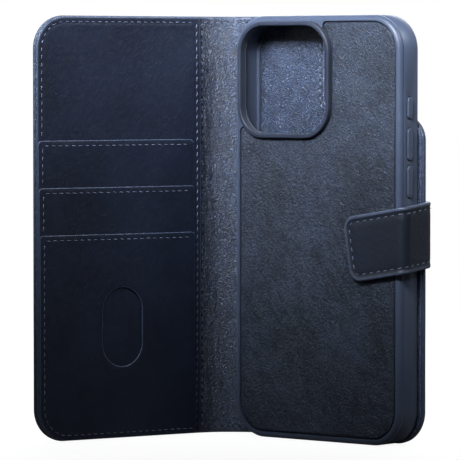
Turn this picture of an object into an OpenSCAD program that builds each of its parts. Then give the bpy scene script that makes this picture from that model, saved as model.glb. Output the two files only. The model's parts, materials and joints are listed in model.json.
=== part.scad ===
// Folio wallet case for a large phone, with a magnetic shell that lifts out of it.
// It stands on its lower edges, open like a book: +Z is up, the rear cover lies along
// X with its lining towards -Y, and the spine and the front cover swing in from its left.
// Each leaf is drawn flat in its own frame: x runs from its fold line to its free edge,
// y is 0 in the middle of the outer leather, and the lining is on the -y side.

/* [Folio] */
// Height of the covers and of the spine
case_h = 166; // [164:0.5:170]
// Width of the rear cover, from its fold line to its outer edge
rear_cover_w = 85.4; // [84.2:0.1:87]
// Width of the front cover, from its fold line to its outer edge
front_cover_w = 82; // [80:0.5:86]
// Width of the spine between the two fold lines
spine_w = 17.5; // [17:0.5:22]
// Radius of the outer corners of the covers
cover_r = 13; // [10:0.5:15]
// Bend at the fold between the rear cover and the spine, in degrees
rear_bend = 36.5; // [10:0.5:60]
// Bend at the fold between the spine and the front cover, in degrees
front_bend = 36.5; // [10:0.5:60]
// Thickness of the outer leather
leather_t = 1; // [0.9:0.1:1.1]

/* [Camera notch] */
// Width of the open notch at the rear cover's upper outer corner
notch_w = 47.6; // [46:0.2:52]
// Depth of the notch, down from the top edge
notch_d = 38.5; // [36:0.5:50]

/* [Card panel] */
// Distance of the panel's open edge from the front cover's fold line
panel_gap = 6.4; // [4:0.2:8]
// Height of the uppermost pocket's mouth
mouth_z = 117.4; // [112:0.2:122]
// Step down from one pocket's mouth to the next
mouth_step = 18.4; // [17:0.2:19]
// Width of the window in the lowest pocket
window_w = 18; // [14:0.5:22]
// Length of the window in the lowest pocket
window_l = 31; // [26:0.5:34]

/* [Phone shell] */
// Width of the phone that the shell holds
phone_w = 76.7; // [76.5:0.1:77]
// Height of the phone that the shell holds
phone_h = 159.9; // [159:0.1:160.4]
// Thickness of the phone that the shell holds
phone_t = 8.25; // [8:0.05:8.4]
// Outer width of the shell
shell_w = 81.8; // [81.6:0.1:82]
// Outer corner radius of the shell
shell_r = 13.5; // [12:0.5:14]
// Side of the raised square rim round the camera opening
camera_w = 44.8; // [44:0.1:45.5]
// How far that rim stands above the shell's back
camera_rise = 1.6; // [1:0.1:2]

/* [Strap] */
// Width of the closing strap
strap_w = 25.5; // [22:0.5:26]
// Thickness of the closing strap
strap_t = 2; // [1.8:0.1:2.2]
// How far the strap's tab reaches over the shell
tab_l = 27; // [24:0.5:34]
// Droop of the tab's free end below the level, in degrees
tab_tilt = 9.3; // [0:0.1:12]

/* [Hidden] */
$fn = 64;

navy = "#2b3750";
deep_navy = "#1d2536";
shell_navy = "#3b4862";
steel = "#9aa0a8";
board_grey = "#6d6a64";

// Layers of the leaves, outwards to inwards
outer_face = leather_t / 2;
leather_in = -leather_t / 2;
rear_board_in = leather_in - 1.2;
rear_lining_in = rear_board_in - 0.8;
spine_lining_in = leather_in - 0.7;
front_board_in = leather_in - 0.8;
front_lining_in = front_board_in - 0.6;
panel_in = front_lining_in - 0.7;
pocket_t = 0.6;
pocket_gap = 0.2;

// Clear strips beside the fold lines, which let each leaf fold right round
leather_start = 0.7;
lining_start = 1.5;
board_start = 3;

// How far the layers stay inside the outer leather's edge
board_inset = 3;
lining_inset = 0.4;
seam_w = 2.4;

// Corners of the camera notch
notch_outer_r = 10;
notch_inner_r = 7;
column_r = 5;

// Card panel
pocket_start = panel_gap + 3.6;
pocket_depth = 74;
mouth_r = 1.5;
window_x = 44;
window_z = 44;

// Magnets
ring_r = 23;
ring_w = 4.5;
ring_count = 12;
ring_arc = 27;
bar_w = 5;
bar_l = 12;
bar_z = -46;
magnet_z = 82;
rear_magnet_t = 0.8;
shell_magnet_t = 0.5;
keeper_r = 8;
keeper_t = 0.5;
keeper_x = front_cover_w - 12;

// Shell, as depths from its rim, which is next to the rear cover
shell_x = 2.1;
shell_rim_y = rear_lining_in - 0.3;
phone_room = 0.1;
wall_t = (shell_w - phone_w) / 2 - phone_room;
end_wall_t = (case_h - phone_h) / 2 - phone_room;
lip_t = 1.2;
lip_over = 1.2;
section_w = 4.6;
microfibre_t = 0.25;
plate_d = lip_t + phone_t + phone_room + microfibre_t;
inlay_d = plate_d + 1;
inlay_back_d = inlay_d + 0.7;
shell_t = inlay_back_d + 0.1;
cavity_r = shell_r - wall_t;
plate_inset = 1.3;
border_inset = 2.2;
inlay_inset = 2.7;
ridge_r = 1.8;
rim_r = 0.8;

// Camera rim
camera_x = 3.2;
camera_z = case_h - 3 - camera_w;
camera_r = 12.5;
camera_wall = 1.6;
camera_groove = 0.4;
collar_x = camera_x + camera_w - 4.3;
collar_z = camera_z + 4.3;
camera_back_d = shell_t + camera_rise;

// Side buttons, with heights of their middles
button_w = 3;
button_proud = 0.6;
button_room = 0.3;
button_d = 5.6;
flange_over = 0.7;
flange_t = 0.8;
travel_room = 0.5;
action_z = 130.2;
action_l = 8.4;
volume_up_z = 116.3;
volume_down_z = 101.8;
volume_l = 12.4;
power_z = 112;
power_l = 17;

// Openings in the shell's lower end
port_w = 13.5;
port_h = 6.2;
port_d = lip_t + phone_t / 2 + phone_room;
speaker_w = 13;
speaker_h = 2.6;
speaker_off = 18;

// Strap
strap_z = 81.5;
side_drop = 1.9;
anchor_l = 34;
fold_room = 1.2;
strap_r = 5;
strap_x = rear_cover_w + 0.2 + strap_t / 2;
strap_y = outer_face + strap_t / 2;
tab_face_y = shell_rim_y - shell_t - 0.3;
tab_fold_y = tab_face_y - strap_t / 2;
tab_lining_y = tab_face_y - 0.7;
tab_z = strap_z - side_drop;
strap_magnet_w = 14;
strap_magnet_t = 0.6;

// Middle of the outline that the whole case stands in
front_angle = rear_bend + front_bend;
front_fold_x = -spine_w * cos(rear_bend);
front_fold_y = -spine_w * sin(rear_bend);
box_left = front_fold_x - front_cover_w * cos(front_angle) - outer_face * sin(front_angle);
box_right = strap_x + strap_t / 2;
box_front = front_fold_y - (front_cover_w - lining_inset) * sin(front_angle)
  + (panel_in - 3 * pocket_t) * cos(front_angle);
box_back = outer_face + strap_t;
mid_x = (box_left + box_right) / 2;
mid_y = (box_front + box_back) / 2;

// Points along a round stretch of an outline
function arc(x, y, r, from, to, steps = 8) =
  [for (i = [0:steps])
    let (a = from + (to - from) * i / steps)
    [x + r * cos(a), y + r * sin(a)]];

// ---- Frames of the leaves and of the shell --------------------------------------

module on_rear_cover() {
  translate([-mid_x, -mid_y, 0]) children();
}

// From here on the leaves run to the left, so their frames are mirrored
module on_spine() {
  on_rear_cover() rotate([0, 0, rear_bend]) mirror([1, 0, 0]) children();
}

module on_front_cover() {
  on_rear_cover() rotate([0, 0, rear_bend]) translate([-spine_w, 0, 0])
    rotate([0, 0, front_bend]) mirror([1, 0, 0]) children();
}

// The shell is drawn lying on its rim, with its depth along Z, and then stood up
module on_shell() {
  on_rear_cover() translate([shell_x, shell_rim_y, 0]) rotate([90, 0, 0]) children();
}

// ---- Shared shapes --------------------------------------------------------------

// An upright layer between two values of y, from its outline in x and z
module layer(inner, outer) {
  translate([0, outer, 0]) rotate([90, 0, 0]) linear_extrude(outer - inner) children();
}

// What rounding takes off a right-hand corner, the upper one or the lower one
module corner_waste(x, z, r, upper) {
  translate([x, z]) mirror([0, upper ? 0 : 1]) difference() {
    translate([-r, -r]) square(r + 1);
    translate([-r, -r]) circle(r);
  }
}

// A rectangle with its two right-hand corners rounded
module right_rounded(x0, x1, z0, z1, low_r, high_r) {
  difference() {
    translate([x0, z0]) square([x1 - x0, z1 - z0]);
    corner_waste(x1, z0, low_r, false);
    corner_waste(x1, z1, high_r, true);
  }
}

module rounded_rectangle(w, h, r) {
  translate([r, 0]) square([w - 2 * r, h]);
  translate([0, r]) square([w, h - 2 * r]);
  for (x = [r, w - r], z = [r, h - r]) translate([x, z]) circle(r);
}

// A slot with round ends, upright and centred
module pill(length, width) {
  straight = length - width;
  translate([-width / 2, -straight / 2]) square([width, straight]);
  for (end = [-1, 1]) translate([0, end * straight / 2]) circle(width / 2);
}

// Sweeps a section round a rounded rectangle; the section's x points out of the outline
module swept_ring(w, h, r) {
  centres = [[w - r, h - r], [r, h - r], [r, r], [w - r, r]];
  starts = [[w, h - r], [r, h], [0, r], [w - r, 0]];
  lengths = [h - 2 * r, w - 2 * r, h - 2 * r, w - 2 * r];
  for (i = [0:3]) {
    translate(centres[i]) rotate([0, 0, 90 * i])
      rotate_extrude(angle = 90) translate([r, 0]) children();
    translate(starts[i]) rotate([0, 0, 90 * i]) rotate([90, 0, 0])
      linear_extrude(lengths[i]) children();
  }
}

// The ring of arc magnets with one straight magnet below it, from z = 0 upwards
module magnet_set(t) {
  for (i = [0:ring_count - 1]) rotate([0, 0, i * 360 / ring_count])
    rotate_extrude(angle = ring_arc) translate([ring_r, 0]) square([ring_w, t]);
  translate([-bar_w / 2, bar_z, 0]) cube([bar_w, bar_l, t]);
}

// The bed that the same set of magnets lies in
module magnet_bed(t) {
  linear_extrude(t) difference() {
    circle(ring_r + ring_w);
    circle(ring_r);
  }
  translate([-bar_w / 2, bar_z, 0]) cube([bar_w, bar_l, t]);
}

// ---- Rear cover -----------------------------------------------------------------

// Outline of a rear cover layer, with the camera notch at its upper outer corner
module rear_outline(start, inset) {
  column = rear_cover_w - notch_w - inset;
  shelf = case_h - notch_d - inset;
  right_rounded(start, rear_cover_w - inset, inset, shelf,
    cover_r - inset, notch_outer_r - inset);
  right_rounded(start, column, inset, case_h - inset, 0.5, column_r - inset);
  translate([column - 1, shelf - 1]) difference() {
    square(notch_inner_r + 1);
    translate([notch_inner_r + 1, notch_inner_r + 1]) circle(notch_inner_r);
  }
}

module rear_magnet_place() {
  translate([shell_x + shell_w / 2, rear_board_in + rear_magnet_t, magnet_z])
    rotate([90, 0, 0]) children();
}

// The outer leather, with its edges turned in round the board
module rear_cover_leather() {
  color(navy) on_rear_cover() {
    layer(leather_in, outer_face) rear_outline(leather_start, 0);
    layer(rear_board_in, leather_in) difference() {
      rear_outline(board_start, 0);
      rear_outline(board_start - 1, board_inset);
    }
  }
}

module rear_cover_board() {
  color(board_grey) on_rear_cover() difference() {
    layer(rear_board_in, leather_in) rear_outline(board_start, board_inset);
    rear_magnet_place() magnet_bed(rear_magnet_t + 1);
  }
}

module rear_cover_magnets() {
  color(steel) on_rear_cover() rear_magnet_place() magnet_set(rear_magnet_t);
}

module rear_cover_lining() {
  color(deep_navy) on_rear_cover()
    layer(rear_lining_in, rear_board_in) rear_outline(lining_start, lining_inset);
}

// ---- Spine ----------------------------------------------------------------------

// The leather is rolled at both fold lines, where the covers hang on it
module spine_leather() {
  color(navy) on_spine() {
    layer(leather_in, outer_face) square([spine_w, case_h]);
    for (x = [0, spine_w]) translate([x, 0, 0]) cylinder(r = leather_t / 2, h = case_h);
  }
}

module spine_lining() {
  color(deep_navy) on_spine() layer(spine_lining_in, leather_in)
    translate([lining_start, lining_inset])
    square([spine_w - 2 * lining_start, case_h - 2 * lining_inset]);
}

// ---- Front cover ----------------------------------------------------------------

module front_outline(start, inset) {
  right_rounded(start, front_cover_w - inset, inset, case_h - inset,
    cover_r - inset, cover_r - inset);
}

module front_cover_leather() {
  color(navy) on_front_cover() {
    layer(leather_in, outer_face) front_outline(leather_start, 0);
    layer(front_board_in, leather_in) difference() {
      front_outline(board_start, 0);
      front_outline(board_start - 1, board_inset);
    }
  }
}

// The board has a bed on its outer side for the plate that holds the strap shut
module front_cover_board() {
  color(board_grey) on_front_cover() difference() {
    layer(front_board_in, leather_in) front_outline(board_start, board_inset);
    layer(leather_in - keeper_t, leather_in + 1) translate([keeper_x, strap_z])
      circle(keeper_r);
  }
}

module clasp_keeper_plate() {
  color(steel) on_front_cover() layer(leather_in - keeper_t, leather_in)
    translate([keeper_x, strap_z]) circle(keeper_r);
}

module front_cover_lining() {
  color(deep_navy) on_front_cover()
    layer(front_lining_in, front_board_in) front_outline(lining_start, lining_inset);
}

// A full-height panel, sewn at its top, bottom and outer edge and open towards the spine
module banknote_pocket_panel() {
  color(navy) on_front_cover() difference() {
    layer(panel_in, front_lining_in) front_outline(panel_gap, lining_inset);
    layer(front_lining_in - pocket_gap, front_lining_in + 1)
      front_outline(panel_gap - 1, lining_inset + seam_w);
  }
}

// A card pocket: a sheet sewn at its sides and below, its bed open at the mouth
module card_pocket(position) {
  mouth = mouth_z - position * mouth_step;
  face = panel_in - (position + 1) * pocket_t;
  back = face + pocket_t;
  floor_z = max(mouth - pocket_depth, lining_inset + seam_w);
  right = front_cover_w - lining_inset;
  difference() {
    layer(face, back) right_rounded(pocket_start, right, lining_inset, mouth,
      cover_r - lining_inset, mouth_r);
    layer(back - pocket_gap, back + 1) right_rounded(pocket_start + seam_w,
      right - seam_w, floor_z, mouth + 1, cover_r - seam_w, 1);
  }
}

module card_pocket_upper() {
  color(navy) on_front_cover() card_pocket(0);
}

module card_pocket_middle() {
  color(navy) on_front_cover() card_pocket(1);
}

// The lowest pocket has a window, so that a card shows through it
module card_pocket_lower() {
  color(navy) on_front_cover() difference() {
    card_pocket(2);
    layer(panel_in - 3 * pocket_t - 1, panel_in - 2 * pocket_t + 1)
      translate([window_x, window_z]) pill(window_l, window_w);
  }
}

// ---- Phone shell ----------------------------------------------------------------

// Section of the bumper's wall before the space inside it is cut out: its outer face is
// at x = 0 and its depth runs upwards from the rim
module bumper_section() {
  polygon(concat(
    arc(-ridge_r, shell_t - ridge_r, ridge_r, 0, 90),
    [[-section_w, shell_t], [-section_w, 0]],
    arc(-rim_r, rim_r, rim_r, 270, 360)));
}

// Space inside the walls between two depths, drawn in from them by an inset
module cavity(from, to, inset) {
  translate([wall_t + inset, end_wall_t + inset, from]) linear_extrude(to - from)
    rounded_rectangle(shell_w - 2 * (wall_t + inset), case_h - 2 * (end_wall_t + inset),
      cavity_r - inset);
}

// A flat layer of the shell between two depths, inset from its outline
module shell_layer(from, to, inset) {
  translate([inset, inset, from]) linear_extrude(to - from)
    rounded_rectangle(shell_w - 2 * inset, case_h - 2 * inset, shell_r - inset);
}

// A block on the outline of the camera rim, grown by a margin
module camera_block(from, to, margin) {
  side = camera_w + 2 * margin;
  translate([camera_x - margin, camera_z - margin, from]) linear_extrude(to - from)
    rounded_rectangle(side, side, camera_r + margin);
}

// The corner of the back round the camera, which the leather leaves bare
module camera_corner(from, to, margin) {
  translate([-1, collar_z - margin, from])
    cube([collar_x + margin + 1, case_h, to - from]);
}

// A pill standing across the right-hand wall, from one x to another
module button_block(z, length, width, from, to) {
  translate([from, z, button_d]) rotate([90, 0, 90]) linear_extrude(to - from)
    rotate(90) pill(length, width);
}

module on_power_side() {
  translate([shell_w, 0, 0]) mirror([1, 0, 0]) children();
}

// A button: a proud pill with a flange that keeps it in the wall
module button(z, length) {
  seat = shell_w - wall_t + travel_room;
  button_block(z, length, button_w, seat, shell_w + button_proud);
  button_block(z, length + 2 * flange_over, button_w + 2 * flange_over,
    seat, seat + flange_t);
}

// The opening for a button, with room for its flange to travel
module button_opening(z, length) {
  seat = shell_w - wall_t + travel_room;
  slot = 2 * button_room;
  bed = 2 * (flange_over + button_room);
  button_block(z, length + slot, button_w + slot, seat - 2, shell_w + 2);
  button_block(z, length + bed, button_w + bed, seat - 2, seat + flange_t);
}

// A slot through the shell's lower end
module end_opening(x, length, width) {
  translate([x, end_wall_t + 2, port_d]) rotate([90, 0, 0])
    linear_extrude(end_wall_t + 4) rotate(90) pill(length, width);
}

module shell_bumper() {
  color(shell_navy) on_shell() difference() {
    swept_ring(shell_w, case_h, shell_r) bumper_section();
    cavity(-1, lip_t + 1, lip_over);
    cavity(lip_t, plate_d + 1, 0);
    shell_layer(plate_d, inlay_d, plate_inset);
    shell_layer(inlay_d - 1, shell_t + 1, border_inset);
    button_opening(action_z, action_l);
    button_opening(volume_up_z, volume_l);
    button_opening(volume_down_z, volume_l);
    on_power_side() button_opening(power_z, power_l);
    end_opening(shell_w / 2, port_w, port_h);
    for (side = [-1, 1])
      end_opening(shell_w / 2 + side * speaker_off, speaker_w, speaker_h);
  }
}

module shell_back_plate() {
  color(shell_navy) on_shell() difference() {
    shell_layer(plate_d, inlay_d, plate_inset);
    camera_block(plate_d - 1, inlay_d + 1, 0);
    translate([shell_w / 2, magnet_z, inlay_d - shell_magnet_t]) magnet_bed(2);
  }
}

module shell_magnets() {
  color(steel) on_shell()
    translate([shell_w / 2, magnet_z, inlay_d - shell_magnet_t])
    magnet_set(shell_magnet_t);
}

module shell_leather_inlay() {
  color(navy) on_shell() difference() {
    shell_layer(inlay_d, inlay_back_d, inlay_inset);
    camera_block(inlay_d - 1, inlay_back_d + 1, camera_groove);
    camera_corner(inlay_d - 1, inlay_back_d + 1, camera_groove);
  }
}

module shell_microfibre_lining() {
  color(deep_navy) on_shell() difference() {
    cavity(plate_d - microfibre_t, plate_d, 0);
    camera_block(plate_d - 1, plate_d + 1, -camera_wall);
  }
}

// A square tube with a rounded top, set in the back plate round the camera opening, and
// the flat corner that it stands in
module camera_rim() {
  top_r = camera_wall / 2;
  color(shell_navy) on_shell() {
    translate([camera_x, camera_z, 0]) swept_ring(camera_w, camera_w, camera_r)
      polygon(concat(
        arc(-top_r, camera_back_d - top_r, top_r, 0, 180, 10),
        [[-camera_wall, plate_d], [0, plate_d]]));
    difference() {
      shell_layer(inlay_d, shell_t, border_inset);
      camera_block(inlay_d - 1, shell_t + 1, -top_r);
      translate([collar_x, -1, inlay_d - 1]) cube([shell_w, case_h + 2, 3]);
      translate([-1, -1, inlay_d - 1]) cube([shell_w, collar_z + 1, 3]);
    }
  }
}

module action_button() {
  color(shell_navy) on_shell() button(action_z, action_l);
}

module volume_up_button() {
  color(shell_navy) on_shell() button(volume_up_z, volume_l);
}

module volume_down_button() {
  color(shell_navy) on_shell() button(volume_down_z, volume_l);
}

module power_button() {
  color(shell_navy) on_shell() on_power_side() button(power_z, power_l);
}

// ---- Strap ----------------------------------------------------------------------

// Outline of a stretch of strap that runs to the left and ends in rounded corners
module strap_outline(length) {
  mirror([1, 0]) right_rounded(0, length, -strap_w / 2, strap_w / 2, strap_r, strap_r);
}

// The end that is sewn to the rear cover's outer face
module strap_anchor() {
  color(navy) on_rear_cover() layer(outer_face, outer_face + strap_t)
    translate([rear_cover_w - 0.6, strap_z]) strap_outline(anchor_l);
}

// The stretch beside the shell, rolled at the folds at both of its ends
module strap_side() {
  color(navy) on_rear_cover() {
    translate([strap_x - strap_t / 2, 0, 0]) rotate([90, 0, 90]) linear_extrude(strap_t)
      polygon([
        [strap_y, strap_z - strap_w / 2], [strap_y, strap_z + strap_w / 2],
        [tab_fold_y, tab_z + strap_w / 2], [tab_fold_y, tab_z - strap_w / 2]]);
    translate([strap_x, strap_y, strap_z - strap_w / 2])
      cylinder(d = strap_t, h = strap_w);
    translate([strap_x, tab_fold_y, tab_z - strap_w / 2])
      cylinder(d = strap_t, h = strap_w);
  }
}

// A layer of the tab, which slopes down to its free end and stops short of the fold
module tab_layer(inner, outer) {
  layer(inner, outer) intersection() {
    translate([strap_x, tab_z]) rotate(tab_tilt) translate([5, 0]) strap_outline(tab_l + 5);
    square([strap_x - fold_room, case_h]);
  }
}

module tab_magnet_block(grow) {
  translate([strap_x, 0, tab_z]) rotate([0, -tab_tilt, 0])
    translate([-tab_l + 5, tab_lining_y - strap_magnet_t, -strap_magnet_w / 2])
    cube([strap_magnet_w, strap_magnet_t + grow, strap_magnet_w]);
}

module strap_tab_leather() {
  color(navy) on_rear_cover() difference() {
    tab_layer(tab_face_y - strap_t, tab_lining_y);
    tab_magnet_block(1);
  }
}

module strap_tab_lining() {
  color(deep_navy) on_rear_cover() tab_layer(tab_lining_y, tab_face_y);
}

module strap_magnet() {
  color(steel) on_rear_cover() tab_magnet_block(0);
}

// ---- Assembly -------------------------------------------------------------------

rear_cover_leather();
rear_cover_board();
rear_cover_lining();
rear_cover_magnets();
spine_leather();
spine_lining();
front_cover_leather();
front_cover_board();
front_cover_lining();
clasp_keeper_plate();
banknote_pocket_panel();
card_pocket_upper();
card_pocket_middle();
card_pocket_lower();
shell_bumper();
shell_back_plate();
shell_leather_inlay();
shell_magnets();
shell_microfibre_lining();
camera_rim();
action_button();
volume_up_button();
volume_down_button();
power_button();
strap_anchor();
strap_side();
strap_tab_leather();
strap_tab_lining();
strap_magnet();
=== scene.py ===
import json
import math

import bmesh
import bpy
import numpy as np
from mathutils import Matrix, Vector
from mathutils.geometry import delaunay_2d_cdt


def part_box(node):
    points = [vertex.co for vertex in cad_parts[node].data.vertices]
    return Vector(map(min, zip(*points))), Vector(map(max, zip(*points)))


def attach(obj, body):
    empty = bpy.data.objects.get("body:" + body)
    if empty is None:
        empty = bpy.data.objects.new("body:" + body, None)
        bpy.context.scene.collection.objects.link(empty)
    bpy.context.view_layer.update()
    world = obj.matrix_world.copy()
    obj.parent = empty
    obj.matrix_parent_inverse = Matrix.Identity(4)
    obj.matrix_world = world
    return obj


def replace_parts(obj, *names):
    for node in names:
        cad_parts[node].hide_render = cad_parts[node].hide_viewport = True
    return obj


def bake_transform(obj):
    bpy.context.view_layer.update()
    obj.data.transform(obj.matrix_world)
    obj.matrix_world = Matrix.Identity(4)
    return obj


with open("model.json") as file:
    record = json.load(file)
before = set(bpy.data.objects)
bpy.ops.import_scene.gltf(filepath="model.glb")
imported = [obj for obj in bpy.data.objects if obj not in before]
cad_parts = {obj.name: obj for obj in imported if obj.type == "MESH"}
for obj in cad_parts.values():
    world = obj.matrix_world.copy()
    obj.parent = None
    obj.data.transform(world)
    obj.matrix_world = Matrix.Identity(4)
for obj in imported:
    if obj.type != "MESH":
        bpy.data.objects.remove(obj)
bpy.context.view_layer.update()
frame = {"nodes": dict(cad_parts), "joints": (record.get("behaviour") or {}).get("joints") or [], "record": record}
rng = np.random.default_rng(7)

# ---- Sizes of the case, in millimetres ----

joints = {j["name"]: np.array(j["pos_m"]) * 1000 for j in frame["joints"] if "pos_m" in j}
REAR_FOLD = joints["rear_fold"][:2]
FRONT_FOLD = joints["front_fold"][:2]
STRAP_FOLD = joints["strap_wrap"]
TAB_FOLD = joints["strap_tab_fold"]


def box_mm(node):
    """Corners of a CAD node, in millimetres."""
    low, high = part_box(node)
    return np.array(low) * 1000, np.array(high) * 1000


SPINE_W = float(np.linalg.norm(REAR_FOLD - FRONT_FOLD))
REAR_BEND = math.atan2(REAR_FOLD[1] - FRONT_FOLD[1], REAR_FOLD[0] - FRONT_FOLD[0])
FRONT_BEND = math.radians(36.5)
CASE_H = box_mm("spine_leather")[1][2]
REAR_W = box_mm("rear_cover_leather")[1][0] - REAR_FOLD[0]
FRONT_W = 82.0
COVER_R = 13.0

# The camera's notch in the rear cover, with its three radii from the free edge inward
NOTCH_COLUMN = REAR_W - 47.6
NOTCH_SHELF = CASE_H - 38.5
NOTCH_R = (10, 7, 5)

# The covers' leather meets its other half in the middle of the spine, under the stitching
SEAM_Q = -SPINE_W / 2
SEWN = 2.4
STITCH_PITCH = 3.0
STITCH_L = 2.0

# The panel and the pockets start at these distances from the front fold, and end together
PANEL_EDGE = 6.4
POCKET_EDGE = 10.0
SHEET_GAP = 0.4
SHEET_END = FRONT_W - SHEET_GAP
SHEET_R = 12.6
SHEET_T = 0.6
PANEL_FACE = -2.6
MOUTHS = {"upper": 117.4, "middle": 99.0, "lower": 80.6}
WINDOW = {"x": 44.0, "z": 44.0, "width": 18.0, "height": 31.0}


# ---- Where the leather runs ----

def turn(vector, angle):
    """Turns a plan vector anticlockwise, by one angle or by each of several."""
    c, s = np.cos(angle), np.sin(angle)
    return np.stack([c * vector[0] - s * vector[1], s * vector[0] + c * vector[1]], -1)


class Run:
    """A line in plan with rounded turns; q falls along it from its start point."""

    def __init__(self, start, heading, turns):
        self.parts = []
        point = np.array(start, float)
        direction = np.array(heading, float)
        q = 0.0
        for at, bend, reach in turns:
            fold = point + direction * (q - at)
            self.parts.append((at, fold, direction.copy(), bend, reach))
            point, q = fold, at
            direction = turn(direction, bend)
        self.start = np.array(start, float)
        self.heading = np.array(heading, float)

    def at(self, q):
        """Plan positions and outward normals at values of q."""
        q = np.asarray(q, float)
        place = self.start + np.outer(-q, self.heading)
        normal = np.tile(turn(self.heading, -math.pi / 2), (len(q), 1))
        for at, fold, before, bend, reach in self.parts:
            after = turn(before, bend)
            e = at - q
            straight = e > -reach
            place[straight] = fold + np.outer(e[straight], after)
            normal[straight] = turn(after, -math.pi / 2)
            inside = np.abs(e) <= reach
            if not inside.any():
                continue
            radius = reach / math.tan(abs(bend) / 2)
            side = math.copysign(1, bend)
            to_centre = turn(before, side * math.pi / 2)
            centre = fold - before * reach + to_centre * radius
            angle = bend * (e[inside] + reach) / (2 * reach)
            place[inside] = centre + turn(-to_centre * radius, angle)
            normal[inside] = turn(turn(before, -math.pi / 2), angle)
        return place, normal


# Along the covers, q is 0 at the rear fold, positive on the rear cover and negative past it
COVERS = Run(REAR_FOLD, (-1, 0), [(0, REAR_BEND, 5), (-SPINE_W, FRONT_BEND, 8)])


def on_covers(s, z, y):
    """Points of the covers from q, height and distance out of the outer leather's middle."""
    place, normal = COVERS.at(s)
    xy = place + normal * np.asarray(y)[:, None]
    return np.column_stack([xy, z])


def on_front(u, z, y):
    """Points of the front cover from the distance from its fold."""
    return on_covers(-SPINE_W - np.asarray(u), z, y)


SHELL_LOW, SHELL_HIGH = box_mm("shell_bumper")


def on_shell(s, z, y):
    """Points of the shell: s across it, y its depth from the rim towards its back."""
    return np.column_stack([SHELL_LOW[0] + s, SHELL_HIGH[1] - np.asarray(y), z])


# ---- Flat outlines ----

def outline(corners, step=1.5, arc_step=0.7):
    """A closed line through corners (x, z, radius), anticlockwise for an outer one."""
    runs = []
    for i, (x, z, radius) in enumerate(corners):
        p = np.array([x, z], float)
        before = p - np.array(corners[i - 1][:2], float)
        after = np.array(corners[(i + 1) % len(corners)][:2], float) - p
        before /= np.linalg.norm(before)
        after /= np.linalg.norm(after)
        bend = math.atan2(before[0] * after[1] - before[1] * after[0], before @ after)
        if radius <= 0:
            runs.append([p])
            continue
        side = math.copysign(1, bend)
        reach = radius * math.tan(abs(bend) / 2)
        left = np.array([-before[1], before[0]]) * side
        centre = p - before * reach + left * radius
        count = max(2, math.ceil(abs(bend) * radius / arc_step))
        runs.append([centre + turn(-left * radius, bend * k / count)
                     for k in range(count + 1)])
    points = []
    for i, run in enumerate(runs):
        points += run
        a, b = run[-1], runs[(i + 1) % len(runs)][0]
        count = int(np.linalg.norm(b - a) / step)
        points += [a + (b - a) * k / count for k in range(1, count)]
    points = np.array(points)
    keep = np.linalg.norm(points - np.roll(points, 1, 0), axis=1) > 1e-4
    return points[keep]


def rectangle(x0, x1, z0, z1, radii, **steps):
    """A rectangle; radii run anticlockwise from the lower left corner."""
    return outline([(x0, z0, radii[0]), (x1, z0, radii[1]), (x1, z1, radii[2]),
                    (x0, z1, radii[3])], **steps)


def inset(points, distance):
    """The closed line moved to its left, which is into the material."""
    ahead = np.roll(points, -1, 0) - points
    ahead /= np.linalg.norm(ahead, axis=1)[:, None]
    left = np.stack([-ahead[:, 1], ahead[:, 0]], 1)
    middle = left + np.roll(left, 1, 0)
    middle /= np.linalg.norm(middle, axis=1)[:, None]
    reach = np.maximum((middle * left).sum(1), 0.5)
    return points + middle * (distance / reach)[:, None]


def on_cut(loop, x):
    """Which points of a closed line lie at x, and which of those lie between its ends."""
    cut, z = np.abs(loop[:, 0] - x) < 1e-6, loop[:, 1]
    return cut, cut & (z > z.min()) & (z < z.max())


def inside(points, loops):
    """Which points lie inside the loops, holes left out."""
    result = np.zeros(len(points), bool)
    for loop in loops:
        a, b = loop, np.roll(loop, -1, 0)
        for (x0, z0), (x1, z1) in zip(a, b):
            if z0 == z1:
                continue
            crosses = (z0 > points[:, 1]) != (z1 > points[:, 1])
            at = x0 + (points[:, 1] - z0) * (x1 - x0) / (z1 - z0)
            result ^= crosses & (points[:, 0] < at)
    return result


def smooth(t):
    t = np.clip(t, 0, 1)
    return t * t * (3 - 2 * t)


# ---- Meshes ----

def add_object(name, data):
    """Puts a mesh, a light or a camera in the scene."""
    thing = bpy.data.objects.new(name, data)
    bpy.context.scene.collection.objects.link(thing)
    return thing


def shade(mesh, sharp):
    """Smooth shading, with edges left sharp from an angle in degrees."""
    mesh.polygons.foreach_set("use_smooth", [True] * len(mesh.polygons))
    mesh.set_sharp_from_angle(angle=math.radians(sharp))


def build(name, vertices, faces, uv=None, edge=None):
    """An object from points in millimetres, with flat coordinates and edge distances."""
    mesh = bpy.data.meshes.new(name)
    mesh.from_pydata((np.asarray(vertices) / 1000).tolist(), [], faces)
    mesh.update()
    if uv is not None:
        layer = mesh.uv_layers.new(name="UVMap")
        corner = np.zeros(len(mesh.loops), np.int32)
        mesh.loops.foreach_get("vertex_index", corner)
        layer.data.foreach_set("uv", (np.asarray(uv)[corner] / 100).astype(np.float32).ravel())
    if edge is not None:
        attribute = mesh.attributes.new("edge_mm", "FLOAT", "POINT")
        attribute.data.foreach_set("value", np.asarray(edge, np.float32))
    work = bmesh.new()
    work.from_mesh(mesh)
    bmesh.ops.recalc_face_normals(work, faces=work.faces)
    work.to_mesh(mesh)
    work.free()
    shade(mesh, 40)
    return add_object(name, mesh)


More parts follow.
